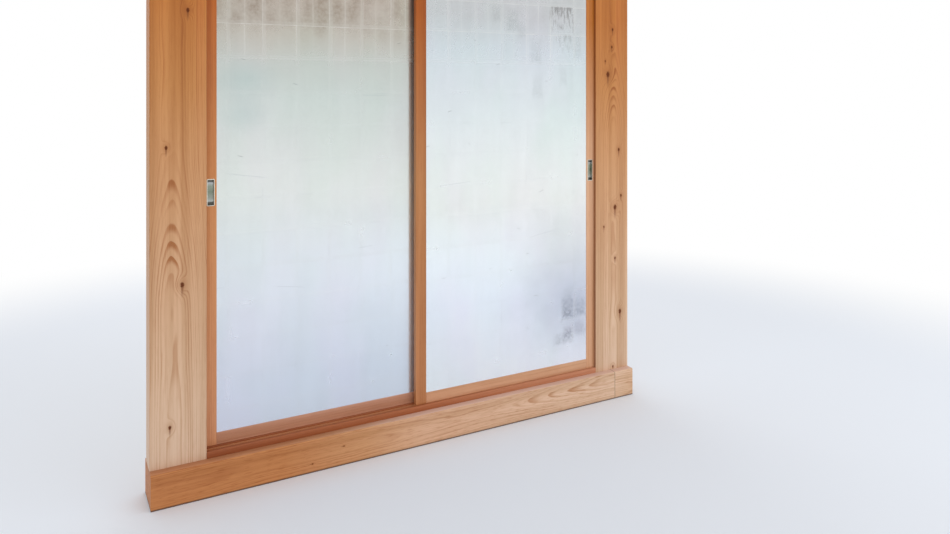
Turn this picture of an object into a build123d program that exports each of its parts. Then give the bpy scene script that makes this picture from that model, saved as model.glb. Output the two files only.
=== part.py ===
from build123d import *
import os

# A pair of sliding panels in a timber frame, in millimetres.
# X runs along the opening, Y from the front to the back and Z up.
# The origin is on the floor, under the middle of the base beam.

# Opening and posts
opening_width = 1692.0
opening_height = 2000.0
post_width = 185.0
frame_depth = 90.0
post_chamfer = 1.5

# Base beam, in two lengths that meet under the right post
beam_height = 120.0
beam_depth = 150.0
beam_step = 35.0
beam_chamfer = 3.0
beam_joint_from_opening = 81.0
beam_tongue_length = 50.0
beam_tongue_width = 45.0
beam_tongue_height = 60.0

# Tracks in the sill and in the head
front_lip = 14.0
groove_width = 21.0
land_width = 12.0
sill_thickness = 23.0
sill_groove_depth = 4.0
sill_chamfer = 1.5
head_height = 105.0
head_groove_depth = 15.0
head_chamfer = 1.5
slip_strip_width = 18.0
slip_strip_thickness = 1.0

# Joinery of the outer frame
fit_gap = 0.1
post_tenon_inset = 15.0
post_tenon_width = 50.0
post_tenon_depth = 30.0
post_tenon_length = 60.0
sill_tenon_length = 12.0
sill_tenon_inset = 15.0
head_tenon_length = 70.0
head_tenon_depth = 30.0
head_tenon_height = 60.0
stub_groove_depth = 4.0

# Panels
panel_thickness = 20.0
panel_overlap = 84.0
running_gap = 0.3
top_engagement = 10.0
stile_width = 46.0
rail_height = 44.0
panel_chamfer = 1.0
core_thickness = 12.0
core_tongue = 5.0
face_thickness = 2.2
face_gap = 0.2
rail_tenon_length = 30.0
rail_tenon_shoulder = 6.0

# Lattice inside each panel
edge_strip_width = 24.0
upright_width = 14.0
upright_count = 3
slat_height = 14.0
slat_count = 12
corner_plate_leg = 70.0

# Flush pulls, one on each side of each closing stile
pull_height = 96.0
pull_width = 28.0
pull_corner = 4.0
pull_rim = 3.0
pull_rim_thickness = 1.0
pull_rim_bevel = 0.5
pull_wall = 0.9
pull_cup_depth = 8.4
pull_cup_bend = 0.8
pull_inset = 11.5
pull_centre_height = 897.0
pin_diameter = 1.4
pin_head_diameter = 2.6
pin_head_thickness = 0.6
pin_length = 9.0

# Places that follow from the sizes above
half_opening = opening_width / 2
half_width = half_opening + post_width
beam_front = -beam_depth / 2
frame_front = beam_front + beam_step
frame_back = frame_front + frame_depth
frame_middle = (frame_front + frame_back) / 2
sill_top = beam_height + sill_thickness
head_bottom = sill_top + opening_height
frame_top = head_bottom + head_height
front_track = frame_front + front_lip + groove_width / 2
rear_track = front_track + groove_width + land_width
panel_bottom = sill_top - sill_groove_depth + slip_strip_thickness + running_gap
panel_top = head_bottom + top_engagement
closed_edge = half_opening + stub_groove_depth - running_gap
panel_width = closed_edge + panel_overlap / 2
field_width = panel_width - 2 * stile_width
field_bottom = panel_bottom + rail_height
field_top = panel_top - rail_height
core_half = core_thickness / 2
rail_tenon_height = rail_height - rail_tenon_shoulder - core_tongue - fit_gap
bottom_tenon_z = panel_bottom + rail_tenon_shoulder
top_tenon_z = panel_top - rail_tenon_shoulder - rail_tenon_height
pull_cup_width = pull_width - 2 * pull_rim + 2 * pull_wall
pull_cup_height = pull_height - 2 * pull_rim + 2 * pull_wall
pull_z = panel_bottom + pull_centre_height
corner_min = (Align.MIN, Align.MIN)

os.makedirs("parts", exist_ok=True)


def save(builder, name):
    """Labels a finished piece and writes its STEP file."""
    builder.part.label = name
    export_step(builder.part, f"parts/{name}.step")


def section(x, y, z, depth, height):
    """Rectangle across the opening's direction, as a sketch at X = x."""
    with BuildSketch(Plane.YZ.offset(x)) as sketch:
        with Locations((y, z)):
            Rectangle(depth, height, align=corner_min)
    return sketch.sketch


def plan(x, y, z, width, depth):
    """Rectangle seen from above, as a sketch at Z = z."""
    with BuildSketch(Plane.XY.offset(z)) as sketch:
        with Locations((x, y)):
            Rectangle(width, depth, align=corner_min)
    return sketch.sketch


def bar(sketch, length, mode=Mode.ADD):
    """A straight length of a section along its plane's normal."""
    extrude(sketch, amount=length, mode=mode)


def track_grooves(x, bottom, depth, length):
    """Cuts the two panel grooves into the part that is being built."""
    for track in (front_track, rear_track):
        groove = section(x, track - groove_width / 2, bottom, groove_width, depth)
        bar(groove, length, Mode.SUBTRACT)


# Base beam
beam_joint = half_opening + beam_joint_from_opening
tongue_y = -beam_tongue_width / 2
tongue_z = (beam_height - beam_tongue_height) / 2
tenon_y = frame_middle - post_tenon_depth / 2


def post_mortise(x):
    """Mortise in the top of the beam for a post's foot."""
    mortise = plan(
        x - fit_gap,
        tenon_y - fit_gap,
        beam_height - post_tenon_length - fit_gap,
        post_tenon_width + 2 * fit_gap,
        post_tenon_depth + 2 * fit_gap,
    )
    bar(mortise, post_tenon_length + fit_gap, Mode.SUBTRACT)


with BuildPart() as base_beam:
    bar(section(-half_width, beam_front, 0, beam_depth, beam_height), half_width + beam_joint)
    upper_edges = base_beam.edges().filter_by(Axis.X).group_by(Axis.Z)[-1]
    chamfer(upper_edges, beam_chamfer)
    post_mortise(-half_opening - post_tenon_inset - post_tenon_width)
    post_mortise(half_opening + post_tenon_inset)
    tongue = section(beam_joint, tongue_y, tongue_z, beam_tongue_width, beam_tongue_height)
    bar(tongue, beam_tongue_length)
save(base_beam, "base_beam")

with BuildPart() as base_beam_end:
    bar(
        section(beam_joint, beam_front, 0, beam_depth, beam_height),
        half_width - beam_joint,
    )
    upper_edges = base_beam_end.edges().filter_by(Axis.X).group_by(Axis.Z)[-1]
    chamfer(upper_edges, beam_chamfer)
    socket = section(
        beam_joint,
        tongue_y - fit_gap,
        tongue_z - fit_gap,
        beam_tongue_width + 2 * fit_gap,
        beam_tongue_height + 2 * fit_gap,
    )
    bar(socket, beam_tongue_length + fit_gap, Mode.SUBTRACT)
save(base_beam_end, "base_beam_end")


# Sill and its slip strips
with BuildPart() as sill:
    bar(section(-half_opening, frame_front, beam_height, frame_depth, sill_thickness), opening_width)
    upper_edges = sill.edges().filter_by(Axis.X).group_by(Axis.Z)[-1]
    chamfer(upper_edges, sill_chamfer)
    tenon = section(
        -half_opening - sill_tenon_length,
        frame_front + sill_tenon_inset,
        beam_height,
        frame_depth - 2 * sill_tenon_inset,
        sill_thickness,
    )
    bar(tenon, opening_width + 2 * sill_tenon_length)
    track_grooves(
        -half_opening - sill_tenon_length,
        sill_top - sill_groove_depth,
        sill_groove_depth,
        opening_width + 2 * sill_tenon_length,
    )
save(sill, "sill")

for place, track in (("front", front_track), ("rear", rear_track)):
    with BuildPart() as slip_strip:
        strip_section = section(
            -half_opening,
            track - slip_strip_width / 2,
            sill_top - sill_groove_depth,
            slip_strip_width,
            slip_strip_thickness,
        )
        bar(strip_section, opening_width)
    save(slip_strip, f"{place}_slip_strip")

# Head
head_tenon_y = frame_middle - head_tenon_depth / 2
head_tenon_z = (head_bottom + head_groove_depth + frame_top - head_tenon_height) / 2

with BuildPart() as head:
    bar(section(-half_opening, frame_front, head_bottom, frame_depth, head_height), opening_width)
    lower_edges = head.edges().filter_by(Axis.X).group_by(Axis.Z)[0]
    chamfer(lower_edges, head_chamfer)
    track_grooves(-half_opening, head_bottom, head_groove_depth, opening_width)
    tenon = section(
        -half_opening - head_tenon_length,
        head_tenon_y,
        head_tenon_z,
        head_tenon_depth,
        head_tenon_height,
    )
    bar(tenon, opening_width + 2 * head_tenon_length)
save(head, "head")


# Posts
def build_post(name, side, track):
    """side is -1 on the left and +1 on the right; the panel on track closes into it."""
    outer = side * half_width
    inner = side * half_opening
    low_x = min(inner, outer)
    with BuildPart() as post:
        bar(plan(low_x, frame_front, beam_height, post_width, frame_depth), frame_top - beam_height)
        chamfer(post.edges().filter_by(Axis.Z), post_chamfer)
        tenon_x = inner + side * post_tenon_inset
        tenon = plan(
            min(tenon_x, tenon_x + side * post_tenon_width),
            tenon_y,
            beam_height - post_tenon_length,
            post_tenon_width,
            post_tenon_depth,
        )
        bar(tenon, post_tenon_length)
        sill_mortise = section(
            inner,
            frame_front + sill_tenon_inset - fit_gap,
            beam_height,
            frame_depth - 2 * (sill_tenon_inset - fit_gap),
            sill_thickness + fit_gap,
        )
        bar(sill_mortise, side * (sill_tenon_length + fit_gap), Mode.SUBTRACT)
        head_mortise = section(
            inner,
            head_tenon_y - fit_gap,
            head_tenon_z - fit_gap,
            head_tenon_depth + 2 * fit_gap,
            head_tenon_height + 2 * fit_gap,
        )
        bar(head_mortise, side * (head_tenon_length + fit_gap), Mode.SUBTRACT)
        stub_bottom = sill_top - sill_groove_depth
        stub_groove = section(
            inner,
            track - groove_width / 2,
            stub_bottom,
            groove_width,
            head_bottom + head_groove_depth - stub_bottom,
        )
        bar(stub_groove, side * stub_groove_depth, Mode.SUBTRACT)
    save(post, name)


build_post("left_post", -1, rear_track)
build_post("right_post", 1, front_track)


# Panel frame
def build_stile(name, outer_x, inward, track, closing):
    """outer_x is the stile's outer edge; inward is the direction of the panel's field."""
    inner_x = outer_x + inward * stile_width
    low_x = min(outer_x, inner_x)
    face = track - panel_thickness / 2
    with BuildPart() as stile:
        bar(plan(low_x, face, panel_bottom, stile_width, panel_thickness), panel_top - panel_bottom)
        chamfer(stile.edges().filter_by(Axis.Z), panel_chamfer)
        core_groove = section(
            inner_x,
            track - core_half - fit_gap,
            field_bottom - core_tongue - fit_gap,
            core_thickness + 2 * fit_gap,
            field_top - field_bottom + 2 * (core_tongue + fit_gap),
        )
        bar(core_groove, -inward * (core_tongue + fit_gap), Mode.SUBTRACT)
        for tenon_bottom in (bottom_tenon_z, top_tenon_z):
            mortise = section(
                inner_x,
                track - core_half - fit_gap,
                tenon_bottom - fit_gap,
                core_thickness + 2 * fit_gap,
                rail_tenon_height + 2 * fit_gap,
            )
            bar(mortise, -inward * (rail_tenon_length + fit_gap), Mode.SUBTRACT)
        if closing:
            for facing in (-1, 1):
                pocket_plane = pull_plane(outer_x, inward, track, facing)
                with BuildSketch(pocket_plane):
                    RectangleRounded(
                        pull_cup_width + 2 * fit_gap,
                        pull_cup_height + 2 * fit_gap,
                        pull_corner - pull_rim + pull_wall + fit_gap,
                    )
                extrude(amount=-pull_cup_depth - fit_gap, mode=Mode.SUBTRACT)
    save(stile, name)


def pull_plane(outer_x, inward, track, facing):
    """Plane on the stile's face at the pull's centre, with its normal out of the stile."""
    centre_x = outer_x + inward * (pull_inset + pull_width / 2)
    return Plane(
        origin=(centre_x, track + facing * panel_thickness / 2, pull_z),
        x_dir=(1, 0, 0),
        z_dir=(0, facing, 0),
    )


def build_rail(name, field_x, rail_bottom, groove_side, track):
    """groove_side is +1 where the core sits above the rail and -1 where it hangs below."""
    core_edge = rail_bottom + rail_height if groove_side > 0 else rail_bottom
    with BuildPart() as rail:
        bar(
            section(field_x, track - panel_thickness / 2, rail_bottom, panel_thickness, rail_height),
            field_width,
        )
        chamfer(rail.edges().filter_by(Axis.X), panel_chamfer)
        groove_depth = core_tongue + fit_gap
        core_groove = section(
            field_x,
            track - core_half - fit_gap,
            core_edge - groove_depth if groove_side > 0 else core_edge,
            core_thickness + 2 * fit_gap,
            groove_depth,
        )
        bar(core_groove, field_width, Mode.SUBTRACT)
        tenon = section(
            field_x - rail_tenon_length,
            track - core_half,
            bottom_tenon_z if groove_side > 0 else top_tenon_z,
            core_thickness,
            rail_tenon_height,
        )
        bar(tenon, field_width + 2 * rail_tenon_length)
    save(rail, name)


# Lattice core: strips round the edge, half-lapped uprights and slats, corner plates
def lattice_places(start, end, count, width):
    """Low edges of count strips that divide the stretch from start to end evenly."""
    pitch = (end - start) / (count + 1)
    return [start + pitch * (number + 1) - width / 2 for number in range(count)]


def build_core(panel, field_x, track):
    core_y = track - core_half
    low_x = field_x - core_tongue
    high_x = field_x + field_width + core_tongue
    low_z = field_bottom - core_tongue
    high_z = field_top + core_tongue
    inside_x = low_x + edge_strip_width
    inside_z = low_z + edge_strip_width
    inside_width = high_x - low_x - 2 * edge_strip_width
    inside_height = high_z - low_z - 2 * edge_strip_width
    upright_x = lattice_places(inside_x, inside_x + inside_width, upright_count, upright_width)
    slat_z = lattice_places(inside_z, inside_z + inside_height, slat_count, slat_height)

    with BuildPart() as edge_strips:
        for x in (low_x, high_x - edge_strip_width):
            bar(plan(x, core_y, low_z, edge_strip_width, core_thickness), high_z - low_z)
        for z in (low_z, high_z - edge_strip_width):
            strip = section(
                inside_x + fit_gap, core_y, z, core_thickness, edge_strip_width
            )
            bar(strip, inside_width - 2 * fit_gap)
    save(edge_strips, f"{panel}_core_edge_strips")

    with BuildPart() as uprights:
        for x in upright_x:
            bar(plan(x, core_y, inside_z, upright_width, core_thickness), inside_height)
        for z in slat_z:
            notch = section(
                inside_x,
                core_y,
                z - fit_gap,
                core_half + fit_gap,
                slat_height + 2 * fit_gap,
            )
            bar(notch, inside_width, Mode.SUBTRACT)
    save(uprights, f"{panel}_core_uprights")

    with BuildPart() as slats:
        for z in slat_z:
            bar(section(inside_x, core_y, z, core_thickness, slat_height), inside_width)
        for x in upright_x:
            notch = plan(
                x - fit_gap,
                track,
                inside_z,
                upright_width + 2 * fit_gap,
                core_half,
            )
            bar(notch, inside_height, Mode.SUBTRACT)
    save(slats, f"{panel}_core_slats")

    with BuildPart() as corner_plates:
        for x, across in ((inside_x, 1), (inside_x + inside_width, -1)):
            for z, up in ((inside_z, 1), (inside_z + inside_height, -1)):
                with BuildSketch(Plane.XZ.offset(-track - core_half)):
                    with BuildLine():
                        Polyline(
                            (x, z),
                            (x + across * corner_plate_leg, z),
                            (x, z + up * corner_plate_leg),
                            close=True,
                        )
                    make_face()
        extrude(amount=core_thickness)
    save(corner_plates, f"{panel}_core_corner_plates")


def build_faces(panel, field_x, track):
    """Front face that carries the metal leaf, and the papered back face."""
    for place, low_y in (
        ("front", track - core_half - face_thickness),
        ("back", track + core_half),
    ):
        with BuildPart() as face:
            outline = plan(
                field_x + face_gap,
                low_y,
                field_bottom + face_gap,
                field_width - 2 * face_gap,
                face_thickness,
            )
            bar(outline, field_top - field_bottom - 2 * face_gap)
        save(face, f"{panel}_{place}_face")


def build_pulls(panel, outer_x, inward, track):
    """Flush pulls back to back in the closing stile, and the pins that hold them."""
    cup_corner = pull_corner - pull_rim + pull_wall
    for place, facing in (("front", -1), ("back", 1)):
        plane = pull_plane(outer_x, inward, track, facing)
        with BuildPart() as pull:
            with BuildSketch(plane):
                RectangleRounded(pull_width, pull_height, pull_corner)
            extrude(amount=pull_rim_thickness)
            outer_edges = pull.faces().sort_by(Axis.Y)[0 if facing < 0 else -1].edges()
            chamfer(outer_edges, pull_rim_bevel)
            with BuildSketch(plane):
                RectangleRounded(pull_cup_width, pull_cup_height, cup_corner)
            extrude(amount=-pull_cup_depth)
            with BuildSketch(plane.offset(pull_rim_thickness)):
                RectangleRounded(
                    pull_width - 2 * pull_rim,
                    pull_height - 2 * pull_rim,
                    pull_corner - pull_rim,
                )
            extrude(
                amount=-(pull_rim_thickness + pull_cup_depth - pull_wall),
                mode=Mode.SUBTRACT,
            )
            levels = pull.faces().filter_by(Axis.Y).group_by(Axis.Y)
            cup_floor = levels[-2 if facing < 0 else 1]
            fillet(cup_floor.edges(), pull_cup_bend)
            with BuildSketch(Plane.XY.offset(pull_z - pull_cup_height / 2)):
                with Locations(pin_place(plane, facing)):
                    Circle(pin_diameter / 2 + fit_gap)
            extrude(amount=pull_cup_height, mode=Mode.SUBTRACT)
        save(pull, f"{panel}_{place}_pull")

    with BuildPart() as pins:
        for facing in (-1, 1):
            plane = pull_plane(outer_x, inward, track, facing)
            for up in (-1, 1):
                head_z = pull_z + up * (pull_height / 2 - pull_rim)
                with BuildSketch(Plane.XY.offset(head_z)):
                    with Locations(pin_place(plane, facing)):
                        Circle(pin_head_diameter / 2)
                extrude(amount=-up * pin_head_thickness)
                with BuildSketch(Plane.XY.offset(head_z)):
                    with Locations(pin_place(plane, facing)):
                        Circle(pin_diameter / 2)
                extrude(amount=up * pin_length)
    save(pins, f"{panel}_pull_pins")


def pin_place(plane, facing):
    """Axis of the pins in plan: half way down the cup, on the pull's middle."""
    return (plane.origin.X, plane.origin.Y - facing * pull_cup_depth / 2)


def build_panel(panel, low_x, track, closing_side):
    """closing_side is the side of the stile with the pulls: -1 left, +1 right."""
    high_x = low_x + panel_width
    field_x = low_x + stile_width
    build_stile(f"{panel}_left_stile", low_x, 1, track, closing_side < 0)
    build_stile(f"{panel}_right_stile", high_x, -1, track, closing_side > 0)
    build_rail(f"{panel}_bottom_rail", field_x, panel_bottom, 1, track)
    build_rail(f"{panel}_top_rail", field_x, panel_top - rail_height, -1, track)
    build_core(panel, field_x, track)
    build_faces(panel, field_x, track)
    closing_edge = low_x if closing_side < 0 else high_x
    build_pulls(panel, closing_edge, -closing_side, track)


build_panel("left_panel", -closed_edge, rear_track, -1)
build_panel("right_panel", closed_edge - panel_width, front_track, 1)
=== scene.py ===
import math

import bpy
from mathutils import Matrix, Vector


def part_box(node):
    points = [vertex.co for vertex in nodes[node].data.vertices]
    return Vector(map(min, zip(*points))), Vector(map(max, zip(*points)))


# A pair of sliding panels faced in silver leaf, in a cedar frame. Sizes are in metres.
# X runs along the opening, Y from the front to the back and Z up.

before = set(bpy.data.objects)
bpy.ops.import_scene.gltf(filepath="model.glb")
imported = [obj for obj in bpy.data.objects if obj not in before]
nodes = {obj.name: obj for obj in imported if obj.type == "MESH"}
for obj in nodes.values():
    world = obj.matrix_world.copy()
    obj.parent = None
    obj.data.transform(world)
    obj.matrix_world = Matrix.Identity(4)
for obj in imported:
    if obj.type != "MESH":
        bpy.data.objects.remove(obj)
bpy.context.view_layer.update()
panels = ("left_panel", "right_panel")
origin = (0.0, 0.0, 0.0)

# The hidden core's pieces, and the way that their grain runs
core_pieces = {
    "core_edge_strips": "Z",
    "core_uprights": "Z",
    "core_slats": "X",
    "core_corner_plates": "X",
}

# Metal leaf, laid in square sheets that lap over each other
leaf_pitch = 0.1265
leaf_lap = 0.012
leaf_row_height = 1.513
leaf_wander = 0.006
leaf_ragged = 0.0018


def srgb(red, green, blue):
    """A colour given as it looks on a screen, 0 to 255, as a linear colour."""
    def linear(value):
        share = value / 255
        return share / 12.92 if share <= 0.04045 else ((share + 0.055) / 1.055) ** 2.4
    return (linear(red), linear(green), linear(blue), 1.0)


# Short calls for making shader nodes
class Graph:
    """Makes and links the nodes of one material or one node group."""

    def __init__(self, tree):
        self.tree = tree

    def node(self, kind, **settings):
        made = self.tree.nodes.new("ShaderNode" + kind)
        for name, value in settings.items():
            setattr(made, name, value)
        return made

    def feed(self, socket, value):
        """Links a socket to another one, or sets it to a constant."""
        if isinstance(value, bpy.types.NodeSocket):
            self.tree.links.new(value, socket)
        elif value is not None:
            socket.default_value = value

    def use(self, group, **inputs):
        """Places a node group; an input's spaces are written as underscores."""
        made = self.node("Group")
        made.node_tree = group
        for name, value in inputs.items():
            self.feed(made.inputs[name.replace("_", " ")], value)
        return made.outputs

    def coordinates(self):
        """The place of each point on its piece with the panels closed."""
        return self.node("TexCoord").outputs["Object"]

    # Numbers
    def math(self, operation, first, second=None, clamp=False):
        made = self.node("Math", operation=operation, use_clamp=clamp)
        for socket, value in zip(made.inputs, (first, second)):
            self.feed(socket, value)
        return made.outputs[0]

    def chain(self, operation, values):
        """One operation over two or more values, from left to right."""
        total = values[0]
        for value in values[1:]:
            total = self.math(operation, total, value)
        return total

    def add(self, *values):
        return self.chain("ADD", values)

    def times(self, *values):
        return self.chain("MULTIPLY", values)

    def largest(self, *values):
        return self.chain("MAXIMUM", values)

    def minus(self, first, second):
        return self.math("SUBTRACT", first, second)

    def ratio(self, first, second):
        return self.math("DIVIDE", first, second)

    def absolute(self, value):
        return self.math("ABSOLUTE", value)

    def swing(self, value, amount):
        """A value from 0 to 1 as a swing about zero, amount wide."""
        return self.times(self.minus(value, 0.5), amount)

    def between(self, share, low, high):
        """A value that goes straight from low to high while share goes from 0 to 1."""
        return self.add(low, self.times(share, high - low))

    def step(self, value, low, high, to_low=0.0, to_high=1.0):
        """A smooth rise from to_low to to_high while value goes from low to high."""
        made = self.node("MapRange", interpolation_type="SMOOTHSTEP")
        for socket, given in zip(made.inputs, (value, low, high, to_low, to_high)):
            self.feed(socket, given)
        return made.outputs[0]

    def fade(self, value, low, high):
        """A smooth fall from 1 to 0 while value goes from low to high."""
        return self.step(value, low, high, 1.0, 0.0)

    # Places
    def vector(self, operation, first, second=None):
        made = self.node("VectorMath", operation=operation)
        self.feed(made.inputs[0], first)
        self.feed(made.inputs["Scale" if operation == "SCALE" else 1], second)
        return made.outputs["Value" if operation == "LENGTH" else "Vector"]

    def split(self, vector):
        made = self.node("SeparateXYZ")
        self.feed(made.inputs[0], vector)
        return made.outputs

    def join(self, x, y, z):
        made = self.node("CombineXYZ")
        for socket, value in zip(made.inputs, (x, y, z)):
            self.feed(socket, value)
        return made.outputs[0]

    # Textures
    def noise(self, vector, scale=1.0, detail=2.0, roughness=0.5, distortion=0.0, output="Fac"):
        made = self.node("TexNoise")
        self.feed(made.inputs["Vector"], vector)
        self.feed(made.inputs["Scale"], scale)
        self.feed(made.inputs["Detail"], detail)
        self.feed(made.inputs["Roughness"], roughness)
        self.feed(made.inputs["Distortion"], distortion)
        return made.outputs[output]

    def stretched_noise(self, vector, stretch, detail, distortion=0.0):
        """Noise with a scale of its own along each axis."""
        stretched = self.vector("MULTIPLY", vector, stretch)
        return self.noise(stretched, detail=detail, distortion=distortion)

    def drift(self, vector, detail, scale=1.0):
        """Noise as a push in any direction, about zero."""
        colour = self.noise(vector, scale=scale, detail=detail, output="Color")
        return self.vector("SUBTRACT", colour, (0.5, 0.5, 0.5))

    def random(self, vector, output="Value"):
        made = self.node("TexWhiteNoise", noise_dimensions="3D")
        self.feed(made.inputs["Vector"], vector)
        return made.outputs[output]

    # Colours and relief
    def mix(self, factor, first, second, blend="MIX"):
        made = self.node("Mix", data_type="RGBA", blend_type=blend)
        self.feed(made.inputs[0], factor)
        self.feed(made.inputs[6], first)
        self.feed(made.inputs[7], second)
        return made.outputs[2]

    def tint(self, colour, tone, factor=1.0):
        """A colour multiplied by a tone."""
        return self.mix(factor, colour, tone, "MULTIPLY")

    def ramp(self, value, stops):
        made = self.node("ValToRGB")
        ramp = made.color_ramp
        while len(ramp.elements) < len(stops):
            ramp.elements.new(1.0)
        for element, (place, colour) in zip(ramp.elements, stops):
            element.position = place
            element.color = colour
        self.feed(made.inputs[0], value)
        return made.outputs[0]

    def bump(self, height, strength, distance):
        made = self.node("Bump")
        self.feed(made.inputs["Height"], height)
        made.inputs["Strength"].default_value = strength
        made.inputs["Distance"].default_value = distance
        return made.outputs[0]


def new_group(name, inputs, outputs):
    """An empty shader node group: its graph, its input sockets and its output sockets."""
    tree = bpy.data.node_groups.new(name, "ShaderNodeTree")
    for label, default in inputs:
        kind = "Vector" if isinstance(default, tuple) else "Float"
        socket = tree.interface.new_socket(
            name=label, in_out="INPUT", socket_type="NodeSocket" + kind
        )
        socket.default_value = default
    for label, kind in outputs:
        tree.interface.new_socket(
            name=label, in_out="OUTPUT", socket_type="NodeSocket" + kind
        )
    graph = Graph(tree)
    given = tree.nodes.new("NodeGroupInput").outputs
    result = tree.nodes.new("NodeGroupOutput").inputs
    return graph, given, result


def new_material(name, viewport_colour):
    """A material with its graph and its Principled shader."""
    material = bpy.data.materials.new(name)
    material.use_nodes = True
    material.diffuse_color = viewport_colour
    graph = Graph(material.node_tree)
    shader = material.node_tree.nodes["Principled BSDF"]
    return material, graph, shader


def dress(node, material):
    """Gives a piece its one material."""
    slots = nodes[node].data.materials
    slots.clear()
    slots.append(material)


# Node groups that several materials share
def make_board_rings():
    """Growth rings of a board: Position is across, through and along the board."""
    g, given, result = new_group(
        "board_rings",
        [
            ("Position", origin),
            ("Pith", (0.0, 0.1, 0.0)),
            ("Taper", origin),
            ("Crown Place", 0.0),
            ("Crown Reach", 0.2),
            ("Crown Rise", 0.0),
            ("Ring Width", 0.0035),
            ("Waver", 0.004),
            ("Warp", 0.0),
        ],
        [("Rings", "Float"), ("Year", "Float"), ("Arch", "Float")],
    )
    drift_scale, drift_gain = (7.0, 7.0, 1.3), 4.0
    uneven_scale, uneven_years = 0.37, 2.5

    # The pith's line, which leans with the taper and rises or dips at the crown
    along = g.split(given["Position"])[2]
    pith = g.vector("ADD", given["Pith"], g.vector("SCALE", given["Taper"], along))
    crown_start = g.minus(given["Crown Place"], given["Crown Reach"])
    crown_end = g.add(given["Crown Place"], given["Crown Reach"])
    crown = g.step(along, crown_start, crown_end, 0.0, given["Crown Rise"])
    pith = g.vector("ADD", pith, g.join(0.0, crown, 0.0))

    # Turns counted outward from the pith, over a grain that wavers slowly
    slow = g.vector("MULTIPLY", given["Position"], drift_scale)
    wavering = g.vector("SCALE", g.drift(slow, detail=3.0), g.times(given["Waver"], drift_gain))
    from_pith = g.vector("SUBTRACT", g.vector("ADD", given["Position"], wavering), pith)
    flat = g.vector("MULTIPLY", from_pith, (1.0, 1.0, 0.0))
    radius = g.add(g.vector("LENGTH", flat), given["Warp"])
    turns = g.ratio(radius, given["Ring Width"])
    uneven = g.noise(g.join(turns, 0.0, 0.0), scale=uneven_scale, detail=1.0)
    turns = g.add(turns, g.times(uneven, uneven_years))

    # Each year darkens slowly and ends at once
    part = g.math("FRACT", turns)
    g.feed(result["Rings"], g.times(g.step(part, 0.35, 0.88), g.fade(part, 0.9, 1.0)))
    g.feed(result["Year"], g.random(g.join(g.math("FLOOR", turns), 0.5, 0.5)))

    # Where the rings close into arches over the pith
    aside = g.absolute(g.split(from_pith)[0])
    ahead = g.absolute(g.minus(along, given["Crown Place"]))
    near = g.fade(g.ratio(ahead, given["Crown Reach"]), 0.55, 0.9)
    g.feed(result["Arch"], g.times(g.fade(aside, 0.005, 0.02), near))
    return g.tree


def make_wood_fibre():
    """Fibre and slow bands along a board, each from 0 to 1."""
    # Name, scale across, through and along the board, and detail
    textures = (
        ("Fine", (850.0, 850.0, 14.0), 3.0),
        ("Streak", (170.0, 170.0, 2.6), 3.0),
        ("Fleck", (240.0, 240.0, 24.0), 2.0),
        ("Band", (30.0, 30.0, 0.5), 1.0),
        ("Blotch", (9.0, 9.0, 4.0), 2.0),
    )
    g, given, result = new_group(
        "wood_fibre",
        [("Position", origin), ("Seed", 0.0)],
        [(label, "Float") for label, _, _ in textures],
    )
    place = g.vector("ADD", given["Position"], g.join(given["Seed"], given["Seed"], 0.0))
    for label, scale, detail in textures:
        g.feed(result[label], g.stretched_noise(place, scale, detail))
    return g.tree


def make_knot():
    """One knot that runs through a board, with the rings swept round it."""
    g, given, result = new_group(
        "knot",
        [("Position", origin), ("Centre", origin), ("Radius", 0.006)],
        [("Warp", "Float"), ("Core", "Float"), ("Halo", "Float"), ("Tail", "Float")],
    )
    stretched_along = (1.0, 0.0, 0.7)
    halo_reach, push = 2.4, 1.4
    offset = g.vector("SUBTRACT", given["Position"], given["Centre"])
    offset = g.vector("MULTIPLY", offset, stretched_along)
    reach = g.ratio(g.vector("LENGTH", offset), given["Radius"])
    rough = g.noise(given["Position"], scale=260.0, detail=2.0)
    g.feed(result["Core"], g.fade(g.add(reach, g.times(rough, 0.7)), 0.85, 1.4))
    falling = g.times(g.math("POWER", g.ratio(reach, halo_reach), 2.0), -1.0)
    near = g.math("EXPONENT", falling)
    g.feed(result["Halo"], near)
    g.feed(result["Warp"], g.times(near, given["Radius"], push))

    # A thin dark strand that runs from the knot toward the board's low end
    across, _, along = g.split(offset)
    across = g.ratio(g.absolute(across), given["Radius"])
    drop = g.ratio(g.times(along, -1.0), given["Radius"])
    strand = g.times(g.fade(across, 0.15, 0.75), g.step(drop, 0.0, 0.6), g.fade(drop, 1.0, 4.5))
    g.feed(result["Tail"], strand)
    return g.tree


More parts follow.
